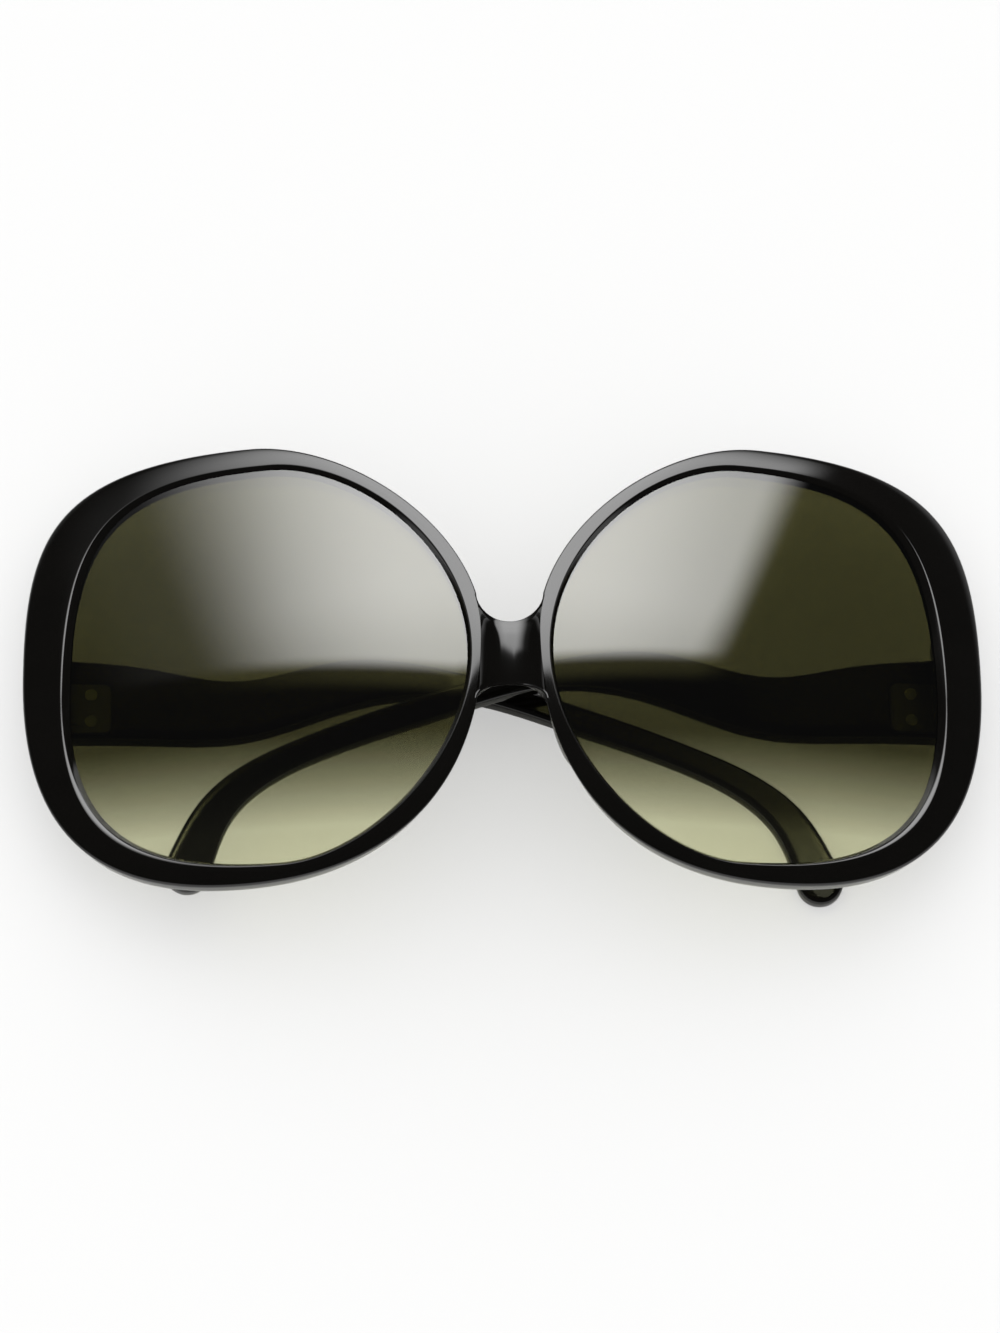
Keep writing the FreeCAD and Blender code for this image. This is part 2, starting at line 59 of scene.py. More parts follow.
# Shader maths: a wrapped socket, and the tree that adds nodes
class Wire:
    def __init__(self, tree, socket):
        self.tree = tree
        self.socket = socket

    def math(self, operation, *values):
        return self.tree.add("ShaderNodeMath", {"operation": operation}, dict(enumerate(values)))

    def __add__(self, other):
        return self.math("ADD", self, other)

    def __radd__(self, other):
        return self.math("ADD", other, self)

    def __sub__(self, other):
        return self.math("SUBTRACT", self, other)

    def __rsub__(self, other):
        return self.math("SUBTRACT", other, self)

    def __mul__(self, other):
        return self.math("MULTIPLY", self, other)

    def __rmul__(self, other):
        return self.math("MULTIPLY", other, self)

    def __truediv__(self, other):
        return self.math("DIVIDE", self, other)

    def __rtruediv__(self, other):
        return self.math("DIVIDE", other, self)

    def clamp(self):
        return self.math("MINIMUM", self.math("MAXIMUM", self, 0.0), 1.0)

    def smooth(self):
        return self * self * (3.0 - 2.0 * self)

    def either(self, other):
        return self.math("MAXIMUM", self, other)

    def ramp(self, start, full):
        return ((self - start) / (full - start)).clamp().smooth()


class Tree:
    def __init__(self, owner):
        owner.use_nodes = True
        self.nodes = owner.node_tree.nodes
        self.links = owner.node_tree.links
        self.nodes.clear()

    # settings first, then the values or links of the sockets, by name or number
    def add(self, kind, settings=None, inputs=None, out=0):
        node = self.nodes.new(kind)
        for key, value in (settings or {}).items():
            setattr(node, key, value)
        for key, value in (inputs or {}).items():
            if isinstance(value, Wire):
                self.links.new(value.socket, node.inputs[key])
            else:
                node.inputs[key].default_value = value
        return Wire(self, node.outputs[out]) if node.outputs else None

    def noise(self, scale, detail, stretch=(1, 1, 1)):
        place = self.add("ShaderNodeTexCoord", out="Object")
        place = self.add("ShaderNodeMapping", {}, {"Vector": place, "Scale": stretch})
        return self.add("ShaderNodeTexNoise", {}, {"Vector": place, "Scale": scale, "Detail": detail})

    def bump(self, height, strength, distance):
        return self.add("ShaderNodeBump", {}, {"Strength": strength, "Distance": distance, "Height": height})

    def blend(self, factor, first, second):
        settings = {"data_type": "RGBA"}
        return self.add("ShaderNodeMix", settings, {0: factor, 6: first, 7: second}, out=2)

    def finish(self, shader, kind="ShaderNodeOutputMaterial"):
        self.add(kind, {}, {0: shader})


noiseMiddle = 0.5  # what a noise node swings about


def newMaterial(name):
    material = bpy.data.materials.new(name)
    return material, Tree(material)


blackAcetate = {
    "pigment": (0.0020, 0.0018, 0.0015, 1), "streak": (0.0040, 0.0036, 0.0030, 1),
    "streakScale": 60.0, "streakDetail": 4.0, "streakStretch": (1, 3, 3),
    "gloss": 0.055, "haze": 0.05, "hazeScale": 210.0, "hazeDetail": 3.0, "ior": 1.5,
    "ripple": 0.06, "rippleScale": 420.0, "rippleDetail": 1.0, "rippleDepth": 0.00002,
}


def makeAcetate():
    s = blackAcetate
    material, tree = newMaterial("black_acetate")
    streaks = tree.noise(s["streakScale"], s["streakDetail"], s["streakStretch"])
    haze = tree.noise(s["hazeScale"], s["hazeDetail"])
    ripple = tree.noise(s["rippleScale"], s["rippleDetail"])
    shader = tree.add("ShaderNodeBsdfPrincipled", {}, {
        "Base Color": tree.blend(streaks, s["pigment"], s["streak"]),
        "Roughness": s["gloss"] + s["haze"] * haze,
        "IOR": s["ior"],
        "Normal": tree.bump(ripple, s["ripple"], s["rippleDepth"]),
    })
    tree.finish(shader)
    return material


# levels along Y where the tint starts to fade and where it is palest; mirror: gloss seen straight on
gradientTint = {
    "dark": (0.25, 0.245, 0.145, 1), "pale": (0.92, 0.92, 0.76, 1), "darkLevel": -12.7, "paleLevel": -27.3,
    "cloud": 0.03, "cloudScale": 35.0, "cloudDetail": 2.0,
    "mirror": 0.067, "facing": 0.5, "steepness": 5.0, "gloss": 0.03, "sheen": white,
}


def makeTint():
    s = gradientTint
    material, tree = newMaterial("gradient_tint")
    place = tree.add("ShaderNodeTexCoord", out="Object")
    level = tree.add("ShaderNodeSeparateXYZ", {}, {0: place}, out="Y")
    cloud = tree.noise(s["cloudScale"], s["cloudDetail"])
    span = (s["paleLevel"] - s["darkLevel"]) * mm
    fade = ((level - s["darkLevel"] * mm) / span + s["cloud"] * (cloud - noiseMiddle)).clamp()
    dark = tree.add("ShaderNodeBsdfTransparent", {}, {"Color": s["dark"]})
    pale = tree.add("ShaderNodeBsdfTransparent", {}, {"Color": s["pale"]})
    tint = tree.add("ShaderNodeMixShader", {}, {0: fade, 1: dark, 2: pale})
    gloss = tree.add("ShaderNodeBsdfGlossy", {}, {"Color": s["sheen"], "Roughness": s["gloss"]})
    # gloss by layer weight is the same on both faces of the lens
    glancing = tree.add("ShaderNodeLayerWeight", {}, {"Blend": s["facing"]}, out="Facing")
    mirror = s["mirror"] + (1 - s["mirror"]) * glancing.math("POWER", glancing, s["steepness"])
    tree.finish(tree.add("ShaderNodeMixShader", {}, {0: mirror, 1: tint, 2: gloss}))
    return material


# satin steel for the leaves, bright steel for screws and rivets, plain strip for the core
metals = {
    "hinge_leaf_steel": {"base": (0.20, 0.195, 0.185, 1), "worn": (0.30, 0.29, 0.28, 1), "rough": 0.30},
    "bright_steel": {"base": (0.50, 0.50, 0.48, 1), "worn": (0.64, 0.64, 0.62, 1), "rough": 0.20},
    "core_steel": {"base": (0.36, 0.36, 0.36, 1), "worn": (0.50, 0.50, 0.50, 1), "rough": 0.34},
}
brushing = {
    "scale": 900.0, "detail": 3.0, "stretch": (0.12, 1, 1), "variation": 0.14, "bump": 0.12, "depth": 0.00002,
}


def makeMetal(name):
    s = metals[name]
    material, tree = newMaterial(name)
    lines = tree.noise(brushing["scale"], brushing["detail"], brushing["stretch"])
    shader = tree.add("ShaderNodeBsdfPrincipled", {}, {
        "Base Color": tree.blend(lines, s["base"], s["worn"]),
        "Metallic": 1.0,
        "Roughness": s["rough"] + brushing["variation"] * (lines - noiseMiddle),
        "Normal": tree.bump(lines, brushing["bump"], brushing["depth"]),
    })
    tree.finish(shader)
    return material


acetate = makeAcetate()
tint = makeTint()
steel = {name: makeMetal(name) for name in metals}
print("materials:", len(bpy.data.materials))


# Helpers for objects and meshes
crease = math.radians(35)


def newObject(name, data):
    thing = bpy.data.objects.new(name, data)
    bpy.context.scene.collection.objects.link(thing)
    return thing


def standing(spot, right, up, back):
    # matrix of a thing at a spot, turned to three axes
    return Matrix.Translation(spot) @ Matrix((right, up, back)).transposed().to_4x4()


def buildPiece(name, vertices, faces, material):
    mesh = bpy.data.meshes.new(name)
    mesh.from_pydata([Vector(v) * mm for v in vertices], [], faces)
    work = bmesh.new()
    work.from_mesh(mesh)
    bmesh.ops.delete(work, geom=[v for v in work.verts if not v.link_faces], context="VERTS")
    bmesh.ops.recalc_face_normals(work, faces=work.faces)
    openEdges = sum(1 for edge in work.edges if len(edge.link_faces) != 2)
    work.to_mesh(mesh)
    work.free()
    mesh.shade_smooth()
    mesh.set_sharp_from_angle(angle=crease)
    mesh.materials.append(material)
    print("piece:", name, len(mesh.polygons), "faces,", openEdges, "open edges")
    return newObject(name, mesh)


def bend(start, corner, end, count):
    # quadratic curve round a corner
    t = np.linspace(0, 1, count)[:, None]
    start, corner, end = (np.array(p, float) for p in (start, corner, end))
    return [tuple(p) for p in (1 - t) ** 2 * start + 2 * t * (1 - t) * corner + t ** 2 * end]


def ease(t):
    t = np.clip(t, 0, 1)
    return t * t * (3 - 2 * t)


def evenLoop(points, count):
    # the same closed outline with points at even distances
    run = np.vstack([points, points[:1]])
    reach = np.concatenate([[0], np.cumsum(np.linalg.norm(np.diff(run, axis=0), axis=1))])
    wanted = np.linspace(0, reach[-1], count, endpoint=False)
    return np.column_stack([np.interp(wanted, reach, run[:, k]) for k in range(run.shape[1])])


# Curve of the front: a ball under the whole face; seat: level of the flat that the hinge sits on
face = {"radius": 160.0, "apex": 29.82, "thickness": 4.0, "seat": 7.95}


def faceHeight(x, y):
    return face["apex"] - face["radius"] + np.sqrt(face["radius"] ** 2 - x ** 2 - y ** 2)


# Outline of one eye: four quarters that leave their ends along X or Y, with a fullness at each end
rimOutline = {
    "nose": (4.2, 2.25), "crest": (40.7, frontHigh.y),
    "side": (frontHigh.x, 0.75), "sole": (41.8, -frontHigh.y),
    "fullness": (0.50, 0.42, 0.85, 0.75, 0.55, 0.78, 0.63, 0.66),
}
lensOutline = {
    "nose": (6.7, -0.75), "crest": (37.5, frontHigh.y - 4.3),
    "side": (frontHigh.x - 7.7, -3.35), "sole": (36.0, 3.5 - frontHigh.y),
    "fullness": (0.55, 0.41, 0.73, 0.85, 0.66, 0.74, 0.47, 0.53),
}


def eyeLoop(outline, perQuarter=400):
    corners = [np.array(outline[k], float) for k in ("nose", "crest", "side", "sole")]
    t = np.linspace(0, 1, perQuarter, endpoint=False)[:, None]
    loop = []
    for k, start in enumerate(corners):
        end = corners[(k + 1) % len(corners)]
        leave, arrive = outline["fullness"][2 * k:2 * k + 2]
        upright = k % 2 == 0
        first = np.array([start[0], start[1] + leave * (end[1] - start[1])])
        second = np.array([end[0] + arrive * (start[0] - end[0]), end[1]])
        if not upright:
            first = np.array([start[0] + leave * (end[0] - start[0]), start[1]])
            second = np.array([end[0], end[1] + arrive * (start[1] - end[1])])
        loop.append((1 - t) ** 3 * start + 3 * t * (1 - t) ** 2 * first
                    + 3 * t ** 2 * (1 - t) * second + t ** 3 * end)
    return np.vstack(loop)


def outwardNormals(loop):
    tangent = np.roll(loop, -1, axis=0) - np.roll(loop, 1, axis=0)
    normal = np.column_stack([tangent[:, 1], -tangent[:, 0]])
    normal /= np.linalg.norm(normal, axis=1)[:, None]
    return normal * np.sign(np.sum(normal * (loop - loop.mean(axis=0)), axis=1))[:, None]


def reachTo(loop, start, direction):
    # distance from a point along a direction to a closed outline
    ends = np.roll(loop, -1, axis=0)
    along, to = ends - loop, loop - start
    cross = direction[0] * along[:, 1] - direction[1] * along[:, 0]
    distance = (to[:, 0] * along[:, 1] - to[:, 1] * along[:, 0]) / cross
    share = (to[:, 0] * direction[1] - to[:, 1] * direction[0]) / cross
    return distance[(share >= 0) & (share < 1) & (distance > 0)].min()


# the lens sits deeper in the rim towards the temple side and towards the cheek
lens = {
    "inset": 1.2, "side": 0.3, "sideFrom": 35.0, "sideTo": 70.0, "lean": 0.02,
    "back": 3.1, "hold": 0.8, "rings": 26,
}


def lensInset(x, y):
    s = lens
    sideways = ease((abs(x) - s["sideFrom"]) / (s["sideTo"] - s["sideFrom"]))
    return s["inset"] + s["side"] * sideways - s["lean"] * y


# bevel and edge: width of the slope round the lens and of its rounded upper edge,
# and what is added to them at the temple side, the nose side and the lower outer corner
# crown: fall of the face across the rim; lean: how far the outer wall goes in at the back
# sole: the same round and lean at the cheek; block: flat for the hinge; pad: rest on the nose
rim = {
    "stations": 240, "roundSteps": 7, "backSteps": 4, "backShares": (0.75, 0.5, 0.25),
    "bevel": {"all": 0.75, "side": 0.6, "nose": -0.2, "corner": 0.0},
    "edge": {"all": 0.22, "side": 0.06, "nose": -0.05, "corner": 0.9},
    "clearance": 0.05, "grooveDepth": 0.85, "crown": 0.035, "edgeDrop": 1.3, "backRound": 0.55, "slack": 0.01,
    "outerRound": 0.45, "soleRound": 0.9, "roundLimit": 0.32, "lean": 1.2, "soleLean": 0.3, "leanLimit": 0.4,
    "blockLevel": -0.55, "blockHalf": 6.8, "blockSoft": 1.2, "blockFrom": 60.0,
    "padCentre": (7.9, -12.3), "padLean": 24.0, "padHalf": (2.2, 7.0), "padDepth": 3.9,
}
# saddle between the rims; sag: how much deeper it gets down to the arch
# lip: how far its brow edge bends down, over a share of the way to the arch
bridge = {
    "top": 8.6, "bottom": -8.6, "notch": 4.55, "arch": -6.1, "depth": 2.0, "wallShare": 0.95, "steps": 40,
    "sag": 0.35, "lip": 0.3, "lipShare": 0.17,
}

opening = evenLoop(eyeLoop(lensOutline), rim["stations"])
openingOut = outwardNormals(opening)
rimEdge = eyeLoop(rimOutline)
rimWidth = np.array([reachTo(rimEdge, p, n) for p, n in zip(opening, openingOut)])


def roundEye(sizes, out):
    outer, nasal, lower = max(0.0, out[0]), max(0.0, -out[0]), max(0.0, -out[1])
    size = sizes["all"] + sizes["side"] * outer ** 2 + sizes["nose"] * nasal ** 2
    return size + sizes["corner"] * 2 * outer * lower


def rimProfile(width, place, out):
    # points as (across from the lens opening, depth below the face), in the order
    # inner back edge, groove, bevel, face, outer edge, back
    thick, back = face["thickness"], rim["backRound"]
    deep = lensInset(*place) - rim["clearance"]
    bevel, edge = roundEye(rim["bevel"], out), roundEye(rim["edge"], out)
    slope = math.hypot(bevel, deep)
    edgeStart = (bevel - edge * bevel / slope, edge * deep / slope)
    flat = bevel + edge
    sole = max(0.0, -out[1]) ** 2
    outerRound = rim["outerRound"] + sole * (rim["soleRound"] - rim["outerRound"])
    turn = min(outerRound, rim["roundLimit"] * (width - flat))
    drop = rim["crown"] * (width - flat)
    edgeDrop = rim["edgeDrop"] * drop
    grooved, grooveBack = rim["grooveDepth"], lens["back"] + rim["clearance"]
    points = bend((back, thick), (0, thick), (0, thick - back), rim["backSteps"])
    points += [(0, grooveBack), (grooved, grooveBack), (grooved, deep), (0, deep)]
    points += [(0.5 * edgeStart[0], 0.5 * (deep + edgeStart[1]))]
    points += bend(edgeStart, (bevel, 0), (flat, 0), rim["roundSteps"])
    crowned = np.linspace(0, 1, rim["roundSteps"])[1:-1]
    points += [(flat + t * (width - turn - flat), drop * t ** 2) for t in crowned]
    faceEnd = len(points)
    lean = min(rim["lean"] + sole * (rim["soleLean"] - rim["lean"]), rim["leanLimit"] * width)
    start, end = edgeDrop + outerRound, thick - back
    wall = [(width - lean * depth / thick, depth) for depth in (start, 0.5 * (start + end), end)]
    points += bend((width - turn, drop), (width, edgeDrop), wall[0], rim["roundSteps"]) + [wall[1]]
    points += bend(wall[2], (width - lean, thick), (width - lean - back, thick), rim["backSteps"])
    backStart = len(points) - 1
    backWidth = width - lean - 2 * back
    points += [(back + t * backWidth, thick) for t in rim["backShares"]]
    return points, faceEnd, backStart


def backShift(x, y, depth):
    # how far the back is moved down: flat hinge seat behind the outer rim, pad behind the nose side
    if depth < face["thickness"] - rim["backRound"] - rim["slack"]:
        return 0.0
    away = abs(y - rim["blockLevel"]) - rim["blockHalf"]
    seated = ease(0.5 - away / rim["blockSoft"]) * (abs(x) > rim["blockFrom"])
    shift = seated * (faceHeight(x, y) - face["thickness"] - face["seat"])
    lean = math.radians(rim["padLean"])
    dx, dy = x - rim["padCentre"][0], y - rim["padCentre"][1]
    across = (dx * math.cos(lean) + dy * math.sin(lean)) / rim["padHalf"][0]
    along = (dy * math.cos(lean) - dx * math.sin(lean)) / rim["padHalf"][1]
    return shift + rim["padDepth"] * math.sqrt(max(0.0, 1 - across ** 2 - along ** 2))


def rimRing():
    ring = []
    for place, out, width in zip(opening, openingOut, rimWidth):
        profile, faceEnd, backStart = rimProfile(width, place, out)
        row = []
        for across, depth in profile:
            x, y = place + out * across
            z = faceHeight(x, y) - depth - backShift(x, y, depth)
            row.append((x, y, max(z, face["seat"])))
        ring.append(row)
    return ring, faceEnd, backStart


def bridgeSpine(outer):
    # stations of the nose side that the bridge grows from, top to bottom
    count = len(outer)
    nasal = [k for k in range(count) if openingOut[k][0] < 0]
    top = min(nasal, key=lambda k: abs(outer[k][1] - bridge["top"]))
    bottom = min(nasal, key=lambda k: abs(outer[k][1] - bridge["bottom"]))
    step = 1 if (bottom - top) % count < count // 2 else -1
    length = (bottom - top) * step % count
    return [(top + step * k) % count for k in range(length + 1)]


def makeFront():
    ring, faceEnd, backStart = rimRing()
    count, turns = len(ring), len(ring[0])
    wallStart = faceEnd + rim["roundSteps"] - 1
    spine = bridgeSpine([row[wallStart] for row in ring])
    gap = set(zip(spine, spine[1:])) | set(zip(spine[1:], spine))

    vertices, faces = [], []
    for hand in hands.values():
        start = len(vertices)
        vertices += [(hand * x, y, z) for row in ring for x, y, z in row]
        for k in range(count):
            after = (k + 1) % count
            for j in range(turns):
                if (k, after) in gap and faceEnd <= j < backStart:
                    continue
                beside = (j + 1) % turns
                faces.append([start + k * turns + j, start + after * turns + j,
                              start + after * turns + beside, start + k * turns + beside])

    # closed row of rim points round the gap: brow edge, back, arch edge, face
    down = range(faceEnd, backStart + 1)
    border = [(spine[0], j) for j in down] + [(k, backStart) for k in spine[1:-1]]
    border += [(spine[-1], j) for j in reversed(down)] + [(k, faceEnd) for k in reversed(spine[1:-1])]
    high, low = bridge["notch"] - rim["outerRound"], bridge["arch"] + rim["outerRound"]

    def proud(k, j):
        # how far a rim point stands out past the end of the face
        return float(np.dot(np.array(ring[k][j][:2]) - ring[k][faceEnd][:2], openingOut[k]))

    # from the right rim's border over the nose to the left rim's
    previous = [(count + k) * turns + j for k, j in border]
    for stepAt in range(1, bridge["steps"] + 1):
        angle = math.pi * stepAt / bridge["steps"]
        curl = math.sin(angle)
        sink = 1 - (1 - min(1.0, (1 - abs(math.cos(angle))) / bridge["wallShare"])) ** 2
        current = []
        for k, j in border:
            if stepAt == bridge["steps"]:
                current.append(k * turns + j)
                continue
            x, y, z = ring[k][j]
            share = spine.index(k) / (len(spine) - 1)
            front = ring[k][faceEnd]
            depth = (front[2] - z) / (front[2] - ring[k][backStart][2])
            goal = (1 - share) * (high + proud(spine[0], j)) + share * (low - proud(spine[-1], j))
            lip = bridge["lip"] * max(0.0, 1 - share / bridge["lipShare"]) ** 2
            sunk = bridge["depth"] + bridge["sag"] * share ** 2 + lip
            goalZ = faceHeight(0.0, goal) - sunk - depth * (face["thickness"] - sunk)
            current.append(len(vertices))
            vertices.append((x * math.cos(angle), y + (goal - y) * curl, z + (goalZ - z) * sink))
        for k in range(len(border)):
            after = (k + 1) % len(border)
            faces.append([previous[k], previous[after], current[after], current[k]])
        previous = current
    piece = buildPiece("front_moulding", vertices, faces, acetate)
    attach(piece, "front")
    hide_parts("front_frame")


def makeLens(side):
    hand = hands[side]
    loop = opening + openingOut * lens["hold"]
    middle = loop.mean(axis=0)
    count, rings = len(loop), lens["rings"]
    vertices, faces, edges = [], [], []
    for depthAt in (lensInset, lambda x, y: lens["back"]):
        start = len(vertices)
        spots = [spot for k in range(1, rings + 1) for spot in middle + (loop - middle) * (k / rings)]
        vertices += [(hand * x, y, faceHeight(x, y) - depthAt(x, y)) for x, y in spots + [middle]]
        hub = len(vertices) - 1
        for k in range(count):
            after = (k + 1) % count
            faces.append([hub, start + k, start + after])
            for ringAt in range(rings - 1):
                here = start + ringAt * count
                faces.append([here + k, here + count + k, here + count + after, here + after])
        edges.append(start + (rings - 1) * count)
    front, back = edges
    faces += [[front + k, back + k, back + (k + 1) % count, front + (k + 1) % count] for k in range(count)]
    piece = buildPiece(f"lens_{side}_tinted", vertices, faces, tint)
    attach(piece, "front")
    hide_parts(f"lens_{side}")


# Temple: places along the arm from the hinge axis, level of the middle line, height of the arm
# inner and outer: its two faces, from the hinge axis; butt: its end at the hinge
temple = {
    "places": [
        (-1.6, -0.55, 13.6), (14.4, -1.4, 12.1), (28.4, -2.15, 9.85), (46.0, 2.4, 7.95), (61.4, 2.5, 4.6),
        (81.4, -3.1, 4.3), (100.7, -10.35, 4.3), (116.0, -20.6, 5.8), (120.8, -30.75, 7.4),
    ],
    "outer": -6.0, "inner": -1.8, "tipThickness": 3.0, "mitre": (2.4, 0.7), "foldGap": 1.2,
    "round": 0.9, "buttRound": 0.35, "buttReach": 4.0, "cornerLimit": 0.6,
    "steps": 110, "tipSteps": 14, "roundSteps": 6, "columns": 6,
    "twist": {"left": 0.0, "right": 0.05}, "twistFrom": 20.0, "twistTo": 45.0,  # the arm on top droops
}
# seat of the hinge leaf, wider than the leaf by a margin that shows as a dark line
leafPocket = {
    "from": -3.0, "far": 8.0, "level": -2.15, "height": 8.1, "corner": 1.2, "cornerSteps": 7,
    "margin": 0.45, "depth": 1.05, "clear": 2.0,
}


class Spline:
    # natural cubic through points, with the distance between them as its parameter
    def __init__(self, points):
        p = np.asarray(points, float)
        h = np.linalg.norm(np.diff(p, axis=0), axis=1)
        n = len(p)
        a, b = np.zeros((n, n)), np.zeros_like(p)
        a[0, 0] = a[-1, -1] = 1
        for k in range(1, n - 1):
            a[k, k - 1:k + 2] = h[k - 1], 2 * (h[k - 1] + h[k]), h[k]
            b[k] = 6 * ((p[k + 1] - p[k]) / h[k] - (p[k] - p[k - 1]) / h[k - 1])
        self.p, self.h, self.m = p, h, np.linalg.solve(a, b)

    def at(self, place):
        # place counts the points: 2.5 is halfway between the third and the fourth
        k = min(int(place), len(self.h) - 1)
        h, t = self.h[k], (place - k) * self.h[k]
        p, q, m, w = self.p[k], self.p[k + 1], self.m[k], self.m[k + 1]
        slope = (q - p) / h - h * (2 * m + w) / 6
        return p + slope * t + m * t ** 2 / 2 + (w - m) * t ** 3 / (6 * h)

    def tangent(self, place, nudge=1e-4):
        last = len(self.h)
        d = self.at(min(place + nudge, last)) - self.at(max(place - nudge, 0))
        return d / np.linalg.norm(d)


def templeEdges():
    places = np.array(temple["places"])
    middle = Spline(places[:, :2])
    beside = []
    for k, height in enumerate(places[:, 2]):
        t = np.array([1.0, 0.0]) if k == 0 else middle.tangent(k)
        beside.append(np.array([-t[1], t[0]]) * height / 2)
    upper = Spline(places[:, :2] + beside)
    lower = Spline(places[:, :2] - beside)
    walk = np.linspace(0, len(places) - 1, temple["steps"])
    tip, radius = places[-1, :2], places[-1, 2] / 2
    t = middle.tangent(len(places) - 1)
    side = np.array([-t[1], t[0]])
    turn = np.linspace(0, math.pi / 2, temple["tipSteps"] + 1)[1:]
    over = [tip + radius * (side * math.cos(a) + t * math.sin(a)) for a in turn]
    under = [tip + radius * (-side * math.cos(a) + t * math.sin(a)) for a in turn[:-1]]
    return [upper.at(w) for w in walk] + over, [lower.at(w) for w in walk] + under


def templeLevels(along):
    # levels of the inner face, which slopes down to the tip, and of the outer face with its mitre
    butt, first, tip = temple["places"][0], temple["places"][1], temple["places"][-1]
    share = np.clip((along - first[0]) / (tip[0] + tip[2] - first[0]), 0, 1)
    top = temple["inner"] + share * (temple["outer"] + temple["tipThickness"] - temple["inner"])
    length, rise = temple["mitre"]
    bottom = temple["outer"] + rise * max(0.0, 1 - (along - butt[0]) / length)
    return top, bottom


def cutPocket(piece, place, arm):
    s = leafPocket
    high, low = (s["level"] + k * (s["height"] / 2 + s["margin"]) for k in (1, -1))
    far, corner = s["far"] + s["margin"], s["corner"] + s["margin"]
    plan = [(s["from"], low)]
    plan += bend((far - corner, low), (far, low), (far, low + corner), s["cornerSteps"])
    plan += bend((far, high - corner), (far, high), (far - corner, high), s["cornerSteps"])
    plan += [(s["from"], high)]
    count = len(plan)
    levels = (temple["inner"] - s["depth"], temple["inner"] + s["clear"])
    vertices = [place @ Vector((arm * x, y, z)) for z in levels for x, y in plan]
    faces = [[k, (k + 1) % count, count + (k + 1) % count, count + k] for k in range(count)]
    faces += [list(range(count)), list(range(count, 2 * count))]
    cutter = buildPiece(f"{piece.name}_cutter", vertices, faces, acetate)
    tool = piece.modifiers.new("pocket", "BOOLEAN")
    tool.object = cutter
    tool.operation = "DIFFERENCE"
    tool.solver = "EXACT"
    bpy.context.view_layer.update()
    cut = bpy.data.meshes.new_from_object(piece.evaluated_get(bpy.context.evaluated_depsgraph_get()))
    cut.set_sharp_from_angle(angle=crease)
    piece.modifiers.clear()
    piece.data = cut
    bpy.data.objects.remove(cutter)


def makeTemple(side):
    upper, lower = templeEdges()
    outline = np.array(upper + lower[::-1])
    count = len(outline)
    ahead, behind = np.roll(outline, -1, axis=0) - outline, outline - np.roll(outline, 1, axis=0)
    ahead /= np.linalg.norm(ahead, axis=1)[:, None]
    behind /= np.linalg.norm(behind, axis=1)[:, None]
    normal = np.column_stack([-(ahead + behind)[:, 1], (ahead + behind)[:, 0]])
    normal /= np.linalg.norm(normal, axis=1)[:, None]
    corners = np.sqrt(0.5 * (1 + np.sum(ahead * behind, axis=1)))
    mitred = 1 / np.maximum(temple["cornerLimit"], corners)
    ends = np.clip((outline[:, 0] - temple["places"][0][0]) / temple["buttReach"], 0, 1)
    turn = temple["buttRound"] + (temple["round"] - temple["buttRound"]) * ends
    twisting = ease((outline[:, 0] - temple["twistFrom"]) / (temple["twistTo"] - temple["twistFrom"]))
    twisted = temple["twist"][side] * twisting * (outline[:, 1] - leafPocket["level"])

    # rings from the inner face round the edge to the outer face
    angles = np.linspace(0, math.pi / 2, temple["roundSteps"])
    vertices, faces = [], []
    rings = [(1 - math.sin(a), 1 - math.cos(a), False) for a in angles]
    rings += [(1 - math.cos(a), 1 - math.sin(a), True) for a in angles]
    for inset, drop, lowerHalf in rings:
        for point, out, r, stretch, rise in zip(outline, normal, turn, mitred, twisted):
            x, y = point - out * r * inset * stretch
            top, bottom = templeLevels(point[0])
            vertices.append((x, y, rise + (bottom + r * drop if lowerHalf else top - r * drop)))
    last = len(rings) - 1
    for ringAt in range(last):
        for k in range(count):
            if k == count - 1 and ringAt in (0, last - 1):
                continue  # closed with the two faces
            after = (k + 1) % count
            here = ringAt * count
            faces.append([here + k, here + after, here + count + after, here + count + k])

    # the two faces, as rows across the arm from butt to tip
    pairs = [(k, count - 1 - k) for k in range(len(lower))]
    columns = temple["columns"]
    for base, beside in ((0, count), (last * count, (last - 1) * count)):
        rows = []
        for over, under in pairs:
            a, b = np.array(vertices[base + over]), np.array(vertices[base + under])
            row = [base + over]
            for c in range(1, columns):
                row.append(len(vertices))
                vertices.append(tuple(a + (b - a) * c / columns))
            rows.append(row + [base + under])
        for first, second in zip(rows, rows[1:]):
            faces += [[first[c], first[c + 1], second[c + 1], second[c]] for c in range(columns)]
        faces.append(rows[0] + [beside + count - 1, beside])
        end = base + len(upper) - 1
        faces += [[rows[-1][c], rows[-1][c + 1], end] for c in range(columns)]

    hand = hands[side]
    axis = hingeAxis[f"{side}_arm"]
    thickness = temple["inner"] - temple["outer"]
    folded = math.asin((thickness + temple["foldGap"]) / axis.x) if side == "right" else 0.0
    place = Matrix.Translation((axis.x, 0, axis.z)) @ Matrix.Rotation(folded, 4, "Y")
    put = [place @ Vector((-hand * x, y, z)) for x, y, z in vertices]
    piece = buildPiece(f"temple_{side}_arm", put, faces, acetate)
    cutPocket(piece, place, -hand)
    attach(piece, f"{side}_arm")
    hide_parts(f"temple_{side}")


finishes = {
    "hinge_front_leaf": "hinge_leaf_steel", "hinge_temple_leaf": "hinge_leaf_steel",
    "hinge_screw": "bright_steel", "hinge_rivets": "bright_steel", "core_wire": "core_steel",
}


def dressMetal(side):
    for node, finish in finishes.items():
        slots = frame["nodes"][f"{node}_{side}"].data.materials
        slots.clear()
        slots.append(steel[finish])


makeFront()
for side in hands:
    makeLens(side)
    makeTemple(side)
    dressMetal(side)
print("object: done")


# Table, light and camera
# body: share of the paint that the camera sees, the rest is the white studio behind it
table = {"size": 6.0, "colour": (0.97, 0.97, 0.965, 1), "body": 0.55}


